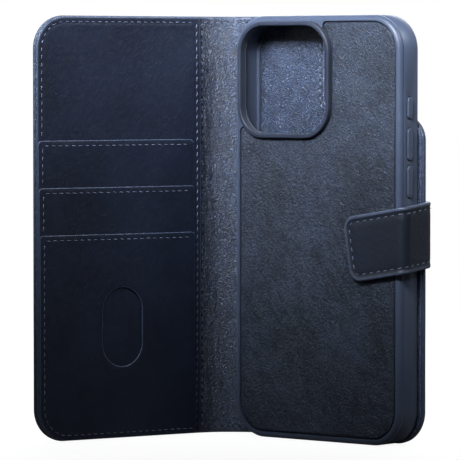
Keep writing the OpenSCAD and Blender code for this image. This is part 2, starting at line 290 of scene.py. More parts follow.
def fill(loops, step, margin):
    """Triangles between loops, over a grid of points; gives the added points as well."""
    outer = loops[0]
    low, high = outer.min(0), outer.max(0)
    step = np.broadcast_to(step, 2)
    xs = np.arange(low[0] + step[0] / 2, high[0], step[0])
    zs = np.arange(low[1] + step[1] / 2, high[1], step[1])
    grid = np.stack(np.meshgrid(xs, zs), -1).reshape(-1, 2)
    grid[:, 0] += np.where((np.round(grid[:, 1] / step[1]).astype(int) % 2) == 1,
                           step[0] * 0.25, -step[0] * 0.25)
    grid = grid[inside(grid, [inset(loop, margin) for loop in loops])]
    points = np.vstack(list(loops) + [grid])
    edges, first = [], 0
    for loop in loops:
        n = len(loop)
        edges += [(first + k, first + (k + 1) % n) for k in range(n)]
        first += n
    result = delaunay_2d_cdt([Vector(p) for p in points], edges, [], 0, 1e-6, True)
    origin = [o[0] if o else -1 for o in result[3]]
    triangles = np.array([[origin[v] for v in face] for face in result[2]])
    triangles = triangles[(triangles >= 0).all(1)]
    middle = points[triangles].mean(1)
    return grid, triangles[inside(middle, loops)]


INSIDE = 10.0


def plate(name, loops, profile, place, step=3.0, back_step=8.0, relief=None, cut=math.inf):
    """A sheet from its outline: profile runs over the rim as (inset, y), back to front.

    relief adds to y over the front, as a function of x, z and the distance from the rim.
    cut is the x at which the sheet ends square, where the next sheet carries on. Points on
    the cut stay between the back and the front, so that no rim stands up along it."""
    front_from = max(range(len(profile)), key=lambda k: -profile[k][0]) + 1
    flat, height, edge, faces = [], [], [], []

    def level(y, points):
        return y(*points.T) if callable(y) else np.full(len(points), y)

    def add(points, y, distance, raised, square=()):
        y = level(y, points)
        rim = np.full(len(points), min(distance, INSIDE))
        if np.any(square):
            back, front = level(profile[0][1], points), level(profile[-1][1], points)
            flush = np.clip(y, np.minimum(back, front), np.maximum(back, front))
            y = np.where(square, flush, y)
            rim[square] = INSIDE
        if relief is not None and raised:
            y = y + relief(*points.T, np.full(len(points), distance))
        first = sum(len(f) for f in flat)
        flat.append(points)
        height.append(y)
        edge.append(rim)
        return first

    ends = {0: [], 1: []}
    for loop in loops:
        before = None
        at_cut, square = on_cut(loop, cut)
        for k, (distance, y) in enumerate(profile):
            ring = inset(loop, distance)
            ring[at_cut, 0] = cut
            ring[square, 1] = loop[square, 1]
            first = add(ring, y, distance, k >= front_from, square)
            n = len(loop)
            if before is not None:
                faces += [(before + i, before + (i + 1) % n, first + (i + 1) % n, first + i)
                          for i in range(n)]
            before = first
            if k == 0:
                ends[0].append((first, ring))
        ends[1].append((before, ring))
    for side, (distance, y), grid_step in ((0, profile[0], back_step), (1, profile[-1], step)):
        rings = [ring for _, ring in ends[side]]
        grid, triangles = fill(rings, grid_step, 0.5 * float(np.min(grid_step)))
        first = add(grid, y, INSIDE, side == 1)
        index = np.concatenate([np.arange(start, start + len(ring)) for start, ring in ends[side]]
                               + [np.arange(first, first + len(grid))])
        faces += [tuple(int(v) for v in index[t]) for t in triangles]
    flat, height = np.vstack(flat), np.concatenate(height)
    return build(name, place(*flat.T, height), faces, uv=flat, edge=np.concatenate(edge))


def rounded_rim(back, front, radius, groove=0.0, hem=0.0, at=SEWN):
    """A profile from the back to the front, with both edges rounded and a sewn groove.

    Both levels are y values, and front may be above or below back."""
    up = math.copysign(1, front - back)
    points = [(radius * (1 - math.sin(a)), back + up * radius * (1 - math.cos(a)))
              for a in np.radians([0, 22, 45, 68, 90])]
    points += [(radius * (1 - math.sin(a)), front - up * radius * (1 - math.cos(a)))
               for a in np.radians([90, 68, 45, 22, 0])]
    if groove:
        face = front + up * hem
        points += [(at - 0.9, face), (at - 0.4, face - up * groove * 0.6),
                   (at, face - up * groove), (at + 0.4, face - up * groove * 0.6),
                   (at + 0.9, face), (at + 1.8, front)]
    return points


# ---- Stitches ----

THREAD_R = 0.165
HOLE_RADII = (0.44, 0.40)
HOLE_SIDES = 8
HOLE_BEYOND = 0.2


def thread_template():
    """A short run of thread along x that dips into the leather at both ends."""
    along, around = 9, 7
    points = []
    for i in range(along):
        t = i / (along - 1)
        radius = THREAD_R * (math.sin(math.pi * (0.12 + 0.76 * t))) ** 0.5
        rise = 0.2 * math.sin(math.pi * t) - 0.1
        for k in range(around):
            a = 2 * math.pi * k / around
            points.append((t - 0.5, radius * math.cos(a), rise + radius * 0.8 * math.sin(a)))
    faces = [(i * around + k, i * around + (k + 1) % around,
              (i + 1) * around + (k + 1) % around, (i + 1) * around + k)
             for i in range(along - 1) for k in range(around)]
    faces.append(tuple(range(around))[::-1])
    faces.append(tuple((along - 1) * around + k for k in range(around)))
    return np.array(points), faces


THREAD, THREAD_FACES = thread_template()


def walk(line, pitch):
    """Middles and directions of evenly spaced stitches along a line."""
    lengths = np.linalg.norm(np.diff(line, axis=0), axis=1)
    total = lengths.sum()
    count = max(1, round(total / pitch))
    where = (np.arange(count) + 0.5) * total / count
    run = np.concatenate([[0], np.cumsum(lengths)])
    near = total / count * 0.45

    def at(distances):
        return np.stack([np.interp(distances, run, line[:, k]) for k in (0, 1)], 1)

    direction = at(where + near) - at(where - near)
    direction /= np.linalg.norm(direction, axis=1)[:, None]
    return at(where), direction


class Sewing:
    """Gathers the stitches and the needle holes of one piece."""

    def __init__(self, name):
        self.name = name
        self.points, self.faces = [], []
        self.holes, self.hole_faces = [], []

    def row(self, points, surface, place, up, pitch=STITCH_PITCH, slant=5.0):
        """Slanted stitches along a line; up says which way off the surface they stand."""
        middles, directions = walk(np.asarray(points, float), pitch)
        for middle, direction in zip(middles, directions):
            angle = math.radians(slant + rng.normal(0, 2.0))
            along = turn(direction, angle)
            across = np.array([-along[1], along[0]])
            size = STITCH_L * (1 + rng.normal(0, 0.03))
            flat = middle + np.outer(THREAD[:, 0] * size, along) + np.outer(THREAD[:, 1], across)
            y = surface(*flat.T) + up * THREAD[:, 2]
            first = sum(len(p) for p in self.points)
            self.points.append(place(*flat.T, y))
            self.faces += [tuple(first + v for v in face) for face in THREAD_FACES]
            for end in (-1, 1):
                self.hole(middle + along * end * (size * 0.5 + HOLE_BEYOND), surface, place, up)

    def hole(self, centre, surface, place, up):
        """A needle hole: a dark disc of painted shade laid just over the leather, under the thread's end."""
        angles = np.linspace(0, 2 * math.pi, HOLE_SIDES + 1)[:-1]
        ring = centre + np.stack([np.cos(angles), np.sin(angles)], 1) * HOLE_RADII
        flat = np.vstack([ring, centre[None]])
        y = surface(*flat.T) + up * np.array([0.012] * HOLE_SIDES + [0.03])
        first = sum(len(p) for p in self.holes)
        self.holes.append(place(*flat.T, y))
        self.hole_faces += [(first + k, first + (k + 1) % HOLE_SIDES, first + HOLE_SIDES)
                            for k in range(HOLE_SIDES)]

    def finish(self, thread, dark):
        """The two pieces, of thread and of needle holes in painted shade."""
        stitches = build(self.name + "_stitches", np.vstack(self.points), self.faces)
        holes = build(self.name + "_needle_holes", np.vstack(self.holes), self.hole_faces)
        stitches.data.materials.append(thread)
        holes.data.materials.append(dark)
        return [stitches, holes]


# ---- Materials ----

class Nodes:
    """Short names for building a shader."""

    def __init__(self, name):
        self.material = bpy.data.materials.new(name)
        self.material.use_nodes = True
        self.tree = self.material.node_tree
        self.shader = self.tree.nodes["Principled BSDF"]

    def add(self, kind, inputs=(), **settings):
        node = self.tree.nodes.new(kind)
        for key, value in settings.items():
            setattr(node, key, value)
        for key, value in dict(inputs).items():
            self.put(node.inputs[key], value)
        return node

    def put(self, socket, value):
        if hasattr(value, "is_output"):
            self.tree.links.new(value, socket)
        else:
            socket.default_value = value

    def coordinates(self, kind):
        """UV, in which 1 is 100 mm of the flat sheet, or Object, in which 1 is a metre."""
        return self.add("ShaderNodeTexCoord").outputs[kind]

    def noise(self, vector, scale, detail=4, roughness=0.5):
        return self.add("ShaderNodeTexNoise", {
            "Vector": vector, "Scale": scale, "Detail": detail,
            "Roughness": roughness}).outputs["Fac"]

    def cells(self, vector, scale):
        return self.add("ShaderNodeTexVoronoi", {"Vector": vector, "Scale": scale},
                        feature="DISTANCE_TO_EDGE").outputs["Distance"]

    def remap(self, value, a, b, c, d):
        return self.add("ShaderNodeMapRange", {
            "Value": value, "From Min": a, "From Max": b, "To Min": c, "To Max": d}).outputs[0]

    def maths(self, operation, a, b=0.0):
        node = self.add("ShaderNodeMath", operation=operation)
        self.put(node.inputs[0], a)
        self.put(node.inputs[1], b)
        return node.outputs[0]

    def mix(self, factor, a, b):
        """From colour a to colour b; either is three numbers or an output."""
        node = self.add("ShaderNodeMix", {"Factor": factor}, data_type="RGBA")
        for socket, value in zip([s for s in node.inputs if s.type == "RGBA"], (a, b)):
            self.put(socket, value if hasattr(value, "is_output") else (*value, 1))
        return [s for s in node.outputs if s.type == "RGBA"][0]

    def bump(self, height, depth, normal=None):
        """Relief of a depth in millimetres."""
        inputs = {"Height": height, "Strength": 1.0, "Distance": depth / 1000}
        if normal is not None:
            inputs["Normal"] = normal
        return self.add("ShaderNodeBump", inputs).outputs[0]

    def surface(self, inputs):
        """Sets the shader's inputs, and gives the material."""
        for key, value in inputs.items():
            self.put(self.shader.inputs[key], value)
        return self.material


CLOUD_SIZE = 26
MOTTLE_SIZE = 3.0
SPECK_SIZE = 0.35


def leather(name, light, dark, roughness, grain, depth, crease, crease_shade_and_highlight, rim_wear_and_painted_light, painted_rim_reach=0.7,
            cloud=0.5, coat=0.0, specular=0.5, painted_shade_from=None):
    """Dyed leather: pebbled grain of a size in mm, leaning creases, cloudy dye, rims of wear and painted light.

    crease is the width, depth, lean in degrees and length-to-width of the creased cells;
    crease_shade_and_highlight darkens the dye in the creases and lightens it on their ridges, as painted shade and
    highlight.
    rim_wear_and_painted_light is the rim's colour over painted_rim_reach mm from its edge: partly edge paint and
    wear, partly the light of the rounded edge painted in.
    painted_shade_from holds two places in mm along the sheet: the colour is darkest at the first and back to its
    own tone at the second, a painted shade beside the panel's free edge."""
    n = Nodes(name)
    flat = n.coordinates("UV")
    clouds = n.noise(flat, 100 / CLOUD_SIZE, detail=5, roughness=0.6)
    mottle = n.noise(flat, 100 / MOTTLE_SIZE, detail=5, roughness=0.7)
    tone = n.maths("ADD", n.remap(clouds, 0.3, 0.7, 0, cloud),
                   n.remap(mottle, 0.3, 0.7, 0, 1 - cloud))
    pebbles = n.cells(flat, 100 / grain)
    pores = n.noise(flat, 100 / (grain * 0.45), detail=3)
    height = n.maths("ADD", n.remap(pebbles, 0.0, 0.3, 0.0, 1.0), n.maths("MULTIPLY", pores, 0.6))
    width, deep, lean, stretch = crease
    leaning = n.add("ShaderNodeMapping", {
        "Vector": flat, "Rotation": (0, 0, math.radians(lean)), "Scale": (1, stretch, 1)},
        vector_type="TEXTURE").outputs[0]
    wander = n.add("ShaderNodeTexNoise", {
        "Vector": leaning, "Scale": 100 / (width * 2.2), "Detail": 3}).outputs["Color"]
    offset = n.add("ShaderNodeVectorMath", {0: wander, 1: (0.5, 0.5, 0.5)},
                   operation="SUBTRACT").outputs["Vector"]
    bent = n.add("ShaderNodeVectorMath", {0: offset, 1: (width / 50,) * 3, 2: leaning},
                 operation="MULTIPLY_ADD").outputs["Vector"]
    ridges = n.remap(n.cells(bent, 100 / width), 0.0, 0.35, 0.0, 1.0)
    strands = n.noise(bent, 100 / (width * 0.8), detail=3, roughness=0.6)
    swell = n.noise(leaning, 100 / (width * 5), detail=2)
    folded = n.maths("MULTIPLY", n.maths("ADD", ridges, n.remap(strands, 0.3, 0.7, 0, 1.2)),
                     n.remap(swell, 0.35, 0.65, 0.65, 1.0))
    # Painted shade and highlight: the dye is darker in the creases and lighter on their ridges, following the
    # relief.
    tone = n.maths("ADD", tone, n.remap(folded, 0.2, 1.6, -crease_shade_and_highlight, crease_shade_and_highlight))
    # Painted shade: darker towards the front fold, where the panel's free edge shades the lining.
    if painted_shade_from:
        along = n.add("ShaderNodeSeparateXYZ", {0: flat}).outputs[0]
        shade_darkest_at, end = painted_shade_from
        tone = n.maths("MULTIPLY", tone, n.remap(along, shade_darkest_at / 100, end / 100, 0.1, 1.0))
    dyed = n.mix(n.maths("MAXIMUM", n.maths("MINIMUM", tone, 1.0), 0.0), dark, light)
    edge = n.add("ShaderNodeAttribute", attribute_name="edge_mm").outputs["Fac"]
    # Painted light on the rim: its colour there is partly edge paint and wear, partly painted light of the rounded
    # edge.
    rim_wear_and_light_mask = n.maths("MULTIPLY", n.remap(edge, painted_rim_reach - 0.5, painted_rim_reach, 1.0, 0.0),
                  n.remap(mottle, 0.3, 0.6, 0.6, 1.0))
    return n.surface({
        "Base Color": n.mix(rim_wear_and_light_mask, dyed, rim_wear_and_painted_light), "Specular IOR Level": specular,
        "Roughness": n.remap(mottle, 0.3, 0.7, roughness + 0.06, roughness - 0.07),
        "Normal": n.bump(folded, deep, n.bump(height, depth)),
        "Coat Weight": coat, "Coat Roughness": 0.3})


def moulded(name, light, dark, roughness):
    """Fine matte elastomer with the slight unevenness of moulding."""
    n = Nodes(name)
    solid = n.coordinates("Object")
    clouds = n.noise(solid, 60, detail=4)
    speck = n.noise(solid, 1000 / SPECK_SIZE, detail=2)
    return n.surface({
        "Base Color": n.mix(n.remap(clouds, 0.35, 0.65, 0, 1), dark, light),
        "Roughness": n.remap(clouds, 0.3, 0.7, roughness - 0.05, roughness + 0.05),
        "Normal": n.bump(speck, 0.012), "Specular IOR Level": 0.45, "Sheen Weight": 0.08})


def fabric(name, light, dark, pile):
    """Short microfibre pile."""
    n = Nodes(name)
    solid = n.coordinates("Object")
    tufts = n.noise(solid, 1000 / pile, detail=4, roughness=0.7)
    strokes = n.noise(solid, 35, detail=3)
    tone = n.maths("MULTIPLY", n.remap(tufts, 0.3, 0.7, 0.3, 1), n.remap(strokes, 0.3, 0.7, 0.6, 1))
    return n.surface({"Base Color": n.mix(tone, dark, light), "Roughness": 0.95,
                      "Normal": n.bump(tufts, 0.15), "Sheen Weight": 0.5})


def plain(name, light, dark, roughness, metallic=0.0, grain=0.8):
    """Thread, board or plated steel, with a fine grain."""
    n = Nodes(name)
    speck = n.noise(n.coordinates("Object"), 1000 / grain, detail=3)
    return n.surface({
        "Base Color": n.mix(n.remap(speck, 0.3, 0.7, 0, 1), dark, light),
        "Roughness": roughness, "Metallic": metallic, "Normal": n.bump(speck, 0.02)})


COVER = leather("cover_leather", (0.020, 0.029, 0.055), (0.009, 0.013, 0.025),
                roughness=0.40, grain=0.9, depth=0.05, crease=(1.5, 0.10, 20, 1.6),
                crease_shade_and_highlight=0.15, rim_wear_and_painted_light=(0.045, 0.060, 0.10))
# The lining is darker near the front fold: painted shade beside the panel's free edge.
LINING = leather("lining_leather", (0.057, 0.079, 0.137), (0.0110, 0.0155, 0.0290),
                 roughness=0.30, grain=1.0, depth=0.12, crease=(0.78, 0.18, -38, 1.7),
                 crease_shade_and_highlight=0.75, cloud=0.35, coat=0.18, rim_wear_and_painted_light=(0.05, 0.068, 0.115),
                 painted_shade_from=(-SPINE_W - PANEL_EDGE + 1, -SPINE_W / 2))
PANEL = leather("panel_leather", (0.0095, 0.0140, 0.030), (0.0045, 0.0065, 0.0140),
                roughness=0.38, grain=0.6, depth=0.016, crease=(2.6, 0.035, 25, 1.4),
                crease_shade_and_highlight=0.1, cloud=0.8, rim_wear_and_painted_light=(0.05, 0.066, 0.11), specular=0.45)
INLAY = leather("inlay_leather", (0.028, 0.040, 0.068), (0.0060, 0.0095, 0.0170),
                roughness=0.34, grain=0.8, depth=0.05, crease=(0.72, 0.16, 38, 2.0),
                crease_shade_and_highlight=0.65, cloud=0.85, rim_wear_and_painted_light=(0.012, 0.017, 0.03), specular=0.36)
STRAP = leather("strap_leather", (0.0115, 0.0158, 0.0280), (0.0058, 0.0083, 0.0148),
                roughness=0.40, grain=0.6, depth=0.016, crease=(2.2, 0.03, -20, 1.4),
                crease_shade_and_highlight=0.1, cloud=0.7, rim_wear_and_painted_light=(0.060, 0.074, 0.115), painted_rim_reach=1.45)
SHELL = moulded("shell_plastic", (0.043, 0.058, 0.097), (0.037, 0.050, 0.084), 0.46)
CAMERA_RIM = moulded("camera_rim_plastic", (0.016, 0.022, 0.040), (0.012, 0.017, 0.031), 0.42)
SHELL_INNER = moulded("shell_inner_plastic", (0.012, 0.016, 0.028), (0.009, 0.012, 0.021), 0.6)
MICROFIBRE = fabric("microfibre", (0.05, 0.06, 0.09), (0.02, 0.027, 0.045), 0.35)
THREAD_NAVY = plain("navy_thread", (0.15, 0.18, 0.255), (0.07, 0.085, 0.13), 0.45, grain=0.18)
# Painted shade: the needle holes are dark discs standing for the shade inside each hole.
HOLE_SHADE = plain("painted_hole_shade", (0.006, 0.008, 0.013), (0.003, 0.004, 0.007), 0.9)
BOARD = plain("fibre_board", (0.24, 0.23, 0.21), (0.15, 0.14, 0.13), 0.9)
STEEL = plain("plated_steel", (0.66, 0.66, 0.68), (0.5, 0.5, 0.53), 0.32, metallic=1.0)

CAD_MATERIALS = {
    "cover_leather": COVER, "lining_leather": LINING, "panel_leather": PANEL,
    "strap_leather": STRAP, "inlay_leather": INLAY, "shell_plastic": SHELL,
    "microfibre": MICROFIBRE, "board": BOARD, "magnet_metal": STEEL}
NODE_SLOT = {part["node"]: part["material_slot"] for part in frame["record"]["subparts"]}
for node_name, node in frame["nodes"].items():
    node.data.materials.clear()
    node.data.materials.append(CAD_MATERIALS[NODE_SLOT[node_name]])
frame["nodes"]["shell_back_plate"].data.materials[0] = SHELL_INNER


def clad(thing, material):
    """Gives a piece its material."""
    thing.data.materials.clear()
    thing.data.materials.append(material)
    return thing


def mount(thing, body, material, slot, *nodes):
    """Clads a piece that rides on one body and stands for CAD nodes, if any."""
    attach(clad(thing, material), body)
    if nodes:
        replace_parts(thing, *nodes)


# ---- Covers and their lining ----

def across_folds(rear, spine, front):
    """A level that runs smoothly from the rear cover over the spine to the front cover."""
    def level(q, z):
        toward_rear = smooth((q + 2) / 7)
        toward_front = smooth((-q - SPINE_W + 2) / 7)
        return spine + (rear - spine) * toward_rear + (front - spine) * toward_front
    return level


def cover_loop(which, gap=0.0):
    """Outline of one half of the sheets that run over the folds, up to the seam."""
    low, high = gap, CASE_H - gap
    if which == "rear":
        right, column, shelf = REAR_W - gap, NOTCH_COLUMN - gap, NOTCH_SHELF - gap
        return outline([(SEAM_Q, low, 0), (right, low, COVER_R - gap),
                        (right, shelf, NOTCH_R[0] - gap), (column, shelf, NOTCH_R[1] + gap),
                        (column, high, NOTCH_R[2] - gap), (SEAM_Q, high, 0)])
    left = -SPINE_W - FRONT_W + gap
    return outline([(left, low, COVER_R - gap), (SEAM_Q, low, 0), (SEAM_Q, high, 0),
                    (left, high, COVER_R - gap)])


def cover_point(q):
    """The point at half height in the middle of the outer leather."""
    return on_covers([q], [CASE_H / 2], [0.0])[0]


# For each fold, its two bodies and the points at which the bend starts and ends
FOLDS = {"rear": ("rear_cover", "spine", cover_point(1.2), cover_point(-6.5)),
         "front": ("spine", "front_cover", cover_point(-SPINE_W + 6.5),
                   cover_point(-SPINE_W - 4.5))}


def bend_with(thing, fold):
    """Bakes a piece's placement into its mesh; the fold's bodies and bend points are read but not used."""
    first, second, start, end = FOLDS[fold]
    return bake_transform(thing)


hem_level = across_folds(-1.7, -0.5, -1.3)


def outer_skin(which):
    """The outer leather with its edge turned in round the board."""
    profile = [(3.2, -0.5), (3.1, hem_level), (1.0, hem_level)]

    def turned_in(a):
        share = 0.5 * (1 + math.cos(a))
        return lambda q, z: hem_level(q, z) * share - 0.2 * (1 - math.cos(a))

    for a in np.radians([30, 60, 90]):
        profile.append((1.0 - math.sin(a), turned_in(a)))
    for a in np.radians([60, 30, 0]):
        profile.append((0.9 * (1 - math.sin(a)), -0.2 + 0.72 * math.cos(a)))
    profile += [(SEWN - 0.8, 0.5), (SEWN - 0.35, 0.42), (SEWN, 0.38), (SEWN + 0.35, 0.42),
                (SEWN + 0.8, 0.5), (3.9, 0.46)]

    def relief(q, z, distance):
        return -0.03 * smooth((distance - 3) / 3) * (1 + np.sin(q * 0.21) * np.sin(z * 0.13))

    thing = plate(f"outer_leather_{which}", [cover_loop(which)], profile, on_covers,
                  step=(1.6, 3.0), back_step=(1.3, 5.0), relief=relief, cut=SEAM_Q)
    return clad(bend_with(thing, which), COVER)


def wrinkles(q, z):
    """Creases that run up the lining beside the folds, deepest near them."""
    total = np.zeros_like(q)
    for k, at in enumerate(np.linspace(-SPINE_W - 5.5, 5.5, 26)):
        phase = 1.7 * k
        path = at + 0.55 * np.sin(z * 0.061 + phase) + 0.3 * np.sin(z * 0.173 + 2.3 * phase)
        depth = 0.5 + 0.5 * np.sin(z * 0.047 + 4.1 * phase)
        total -= 0.14 * depth * np.exp(-((q - path) / 0.42) ** 2)
    total += 0.07 * np.sin(q * 1.9 + 0.8 * np.sin(z * 0.09)) * np.sin(z * 0.21 + q * 0.4)
    fade = smooth((q + SPINE_W + 12) / 7) * smooth((10 - q) / 7)
    return total * fade


lining_face = across_folds(-2.5, -1.2, -1.9)


def lining(which):
    """The pebbled lining, which runs on over the folds."""
    def level(share, raise_by=0.0):
        return lambda q, z: (hem_level(q, z) * (1 - share) + lining_face(q, z) * share
                             - raise_by)

    profile = [(0.4, level(0.0)), (0.05, level(0.25)), (0.0, level(0.5)), (0.1, level(0.85)),
               (0.35, level(1.0, 0.03)), (1.2, level(1.0, 0.05)), (1.6, level(1.0, -0.03)),
               (2.0, level(1.0, -0.09)), (2.4, level(1.0, -0.03)), (2.9, level(1.0)),
               (3.6, level(1.0))]

    def relief(q, z, distance):
        return -wrinkles(q, z) * smooth((distance - 0.5) / 3)

    thing = plate(f"lining_{which}", [cover_loop(which, SHEET_GAP)], profile, on_covers,
                  step=(0.55, 1.3), back_step=(1.3, 5.0), relief=relief, cut=SEAM_Q)
    return clad(bend_with(thing, which), LINING)


outer_rear, outer_front = outer_skin("rear"), outer_skin("front")
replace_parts(outer_rear, "rear_cover_leather", "spine_leather")
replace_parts(outer_front, "front_cover_leather", "spine_leather")
lining_rear, lining_front = lining("rear"), lining("front")
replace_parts(lining_rear, "rear_cover_lining", "spine_lining")
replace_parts(lining_front, "front_cover_lining", "spine_lining")


def open_run(loop, seam, distance):
    """The closed line moved in from the rim, from one side of the seam round to the other."""
    on_seam, between = on_cut(loop, seam)
    line = inset(loop, distance)
    line[on_seam, 0] = seam
    start = int(np.argmax(~between & np.roll(between, 1)))
    return np.roll(line, -start, 0)[np.roll(~between, -start)]


def level_at(y):
    """A surface at one level."""
    return lambda x, z: np.full(len(x), y)


def lining_groove(q, z):
    """The bottom of the sewn groove in the lining."""
    return lining_face(q, z) + 0.06


for which in ("rear", "front"):
    sewing = Sewing(f"cover_{which}")
    line = open_run(cover_loop(which), SEAM_Q, SEWN)
    sewing.row(line, level_at(0.39), on_covers, 1)
    inner = line
    if which == "front":
        # One row: along the top, down beside the panel's free edge and along the bottom.
        # The two unused draws keep the later stitches' slants and lengths as they are.
        inner = line[line[:, 0] > -SPINE_W - PANEL_EDGE + 1][1:]
        rng.normal(size=2)
    sewing.row(inner, lining_groove, on_covers, -1)
    for thing in sewing.finish(THREAD_NAVY, HOLE_SHADE):
        bend_with(thing, which)


# ---- Banknote panel and card pockets ----

def panel_lift(u, z):
    """The panel's free edge stands a little off the lining, most at half height."""
    return 0.9 * np.exp(-np.maximum(u - PANEL_EDGE, 0) / 12) * np.sin(np.pi * z / CASE_H) ** 0.7


def pocket_lift(mouth):
    """A pocket's mouth gapes a little in the middle of its width."""
    def lift(u, z):
        across = np.clip((u - POCKET_EDGE) / (FRONT_W - POCKET_EDGE), 0, 1)
        return 0.35 * np.sin(np.pi * across) * np.exp(-np.maximum(mouth - z, 0) / 9)
    return lift


def front_piece(name, node, loops, back, face, lift, step, **rim):
    """A sheet on the front cover's inner side; lift moves it all off the leather below."""
    def place(u, z, y):
        return on_front(u, z, y - lift(u, z))

    thing = plate(name, loops, rounded_rim(back, face, **rim), place, step=step)
    mount(thing, "front_cover", PANEL, "panel_leather", node)
    return place


sewing = Sewing("card_panel")
panel_back = PANEL_FACE + 0.7
panel_loop = rectangle(PANEL_EDGE, SHEET_END, SHEET_GAP, CASE_H - SHEET_GAP,
                       (0, SHEET_R, SHEET_R, 0))
panel_place = front_piece("banknote_panel", "banknote_pocket_panel", [panel_loop], panel_back,
                          PANEL_FACE, panel_lift, 2.4, radius=0.3, groove=0.1, hem=0.06)

# The panel is sewn along its free edge, and round its top where no pocket covers it
on_panel = level_at(PANEL_FACE + 0.04)
hem_x = PANEL_EDGE + 2.0
sewing.row([(hem_x, SEWN), (hem_x, CASE_H - SEWN)], on_panel, panel_place, -1, slant=14)
sewn_x, sewn_r = SHEET_END - 2.0, SHEET_R - 2.0
upper = rectangle(hem_x, sewn_x, -60, CASE_H - SEWN, (0, 0, sewn_r, 0))
upper = upper[(upper[:, 1] > MOUTHS["upper"] + 1) & (upper[:, 0] > hem_x + 0.6)]
upper = upper[np.argsort(np.arctan2(upper[:, 1] - 100, upper[:, 0] - 20))]
sewing.row(upper, on_panel, panel_place, -1)

back = PANEL_FACE
for name, mouth in MOUTHS.items():
    face = back - SHEET_T
    loops = [rectangle(POCKET_EDGE, SHEET_END, SHEET_GAP, mouth, (0.3, SHEET_R, 1.5, 1.5))]
    if name == "lower":
        half_w, half_h = WINDOW["width"] / 2, WINDOW["height"] / 2
        hole = rectangle(WINDOW["x"] - half_w, WINDOW["x"] + half_w, WINDOW["z"] - half_h,
                         WINDOW["z"] + half_h, (half_w - 0.01,) * 4)
        loops.append(hole[::-1])
    place = front_piece(f"pocket_{name}", f"card_pocket_{name}", loops, back, face,
                        pocket_lift(mouth), 1.8, radius=0.27)
    on_pocket = level_at(face + 0.02)
    mouth_row = [(POCKET_EDGE + SEWN, mouth - 2.1), (SHEET_END - SEWN, mouth - 2.1)]
    sewing.row(mouth_row, on_pocket, place, -1)
    if name == "lower":
        edge_row = rectangle(-60, sewn_x, SEWN, 400, (0, sewn_r, 0, 0))
        edge_row = edge_row[(edge_row[:, 1] < mouth - 2.6) & (edge_row[:, 0] > hem_x + 1.5)]
    else:
        next_mouth = MOUTHS["middle" if name == "upper" else "lower"]
        edge_row = [(sewn_x, next_mouth + 1.2), (sewn_x, mouth - 2.6)]
    sewing.row(edge_row, on_pocket, place, -1)
    back = face
for thing in sewing.finish(THREAD_NAVY, HOLE_SHADE):
    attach(thing, "front_cover")


# ---- Strap ----

STRAP_T = 2.0
STRAP_W = 25.5
SIDE_L = STRAP_FOLD[1] - TAB_FOLD[1]
SIDE_DROP = STRAP_FOLD[2] - TAB_FOLD[2]
TAB_TILT = math.radians(9.3)
TAB_L = 27.0
ANCHOR_L = 34.6
STRAP_R = 5.0
STRAP_RUN = Run(STRAP_FOLD[:2], (1, 0), [(0, -math.pi / 2, 2.4), (-SIDE_L, -math.pi / 2, 2.9)])


def strap_line(r):
    """Height of the strap's middle, and its slope, at distances r past the first fold."""
    r = np.asarray(r, float)
    side_slope = SIDE_DROP / SIDE_L
    tab_slope = math.tan(TAB_TILT)
    drop = np.clip(r, 0, SIDE_L) * side_slope + np.maximum(r - SIDE_L, 0) * tab_slope
    slope = side_slope * smooth((r + 2) / 4) + (tab_slope - side_slope) * smooth(
        (r - SIDE_L + 3) / 6)
    return STRAP_FOLD[2] - drop, np.arctan(slope)


def on_strap(r, w, y):
    """Points of the strap from the distance along it, across it, and out of its middle."""
    height, slope = strap_line(r)
    r = np.asarray(r) + np.asarray(w) * np.sin(slope)
    place, normal = STRAP_RUN.at(-r)
    xy = place - normal * np.asarray(y)[:, None]
    return np.column_stack([xy, height + np.asarray(w) * np.cos(slope)])


# The strap's leather meets its other half here, so each half crosses only one fold
STRAP_SEAM = SIDE_L / 2
FOLDS["strap_back"] = ("rear_cover", "strap_side", on_strap([-4.0], [0.0], [0.0])[0],
                       on_strap([3.0], [0.0], [0.0])[0])
FOLDS["strap_front"] = ("strap_side", "strap_tab", TAB_FOLD - (1.3, 0, 0), TAB_FOLD - (6.5, 0, 0))


def strap_loop(which, gap=0.0):
    """Outline of one half of the strap, with round corners at its free end."""
    half, corner = STRAP_W / 2 - gap, STRAP_R - gap
    if which == "back":
        return rectangle(gap - ANCHOR_L, STRAP_SEAM, -half, half, (corner, 0, 0, corner), step=1.0)
    return rectangle(STRAP_SEAM, SIDE_L + TAB_L - gap, -half, half, (0, corner, corner, 0),
                     step=1.0)


# The strap's face has a welt along its rim and a groove for the stitches
STRAP_FACE = STRAP_T / 2
strap_rim = rounded_rim(-0.3, STRAP_FACE, 0.62)
strap_rim += [(inset_by, STRAP_FACE + rise) for inset_by, rise in (
    (1.0, 0.02), (1.3, -0.03), (1.5, -0.14), (2.2, -0.16), (2.6, -0.22), (3.0, -0.16),
    (3.9, -0.1))]
backing_rim = rounded_rim(-0.3, -STRAP_FACE, 0.32, groove=0.08, hem=0.02, at=2.1)


def strap_layer(layer, which, gap, rim):
    """One half of the strap's leather or of its lining."""
    thing = plate(f"strap_{layer}_{which}", [strap_loop(which, gap)], rim, on_strap,
                  step=(0.8, 2.0), back_step=(0.8, 2.0), cut=STRAP_SEAM)
    return clad(bend_with(thing, f"strap_{which}"), STRAP)


for which, nodes in (("back", ("strap_anchor", "strap_side")),
                     ("front", ("strap_side", "strap_tab_leather"))):
    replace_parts(strap_layer("leather", which, 0.0, strap_rim), *nodes)
    backing = strap_layer("lining", which, 0.15, backing_rim)
    sewing = Sewing(f"strap_{which}")
    line = open_run(strap_loop(which), STRAP_SEAM, 2.6)
    sewing.row(line, level_at(STRAP_FACE - 0.2), on_strap, 1, pitch=3.4, slant=-7)
    if which == "front":
        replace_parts(backing, "strap_tab_lining")
        sewing.row(line, level_at(0.08 - STRAP_FACE), on_strap, -1, pitch=3.4, slant=-7)
    for thing in sewing.finish(THREAD_NAVY, HOLE_SHADE):
        bend_with(thing, f"strap_{which}")


# ---- Shell ----

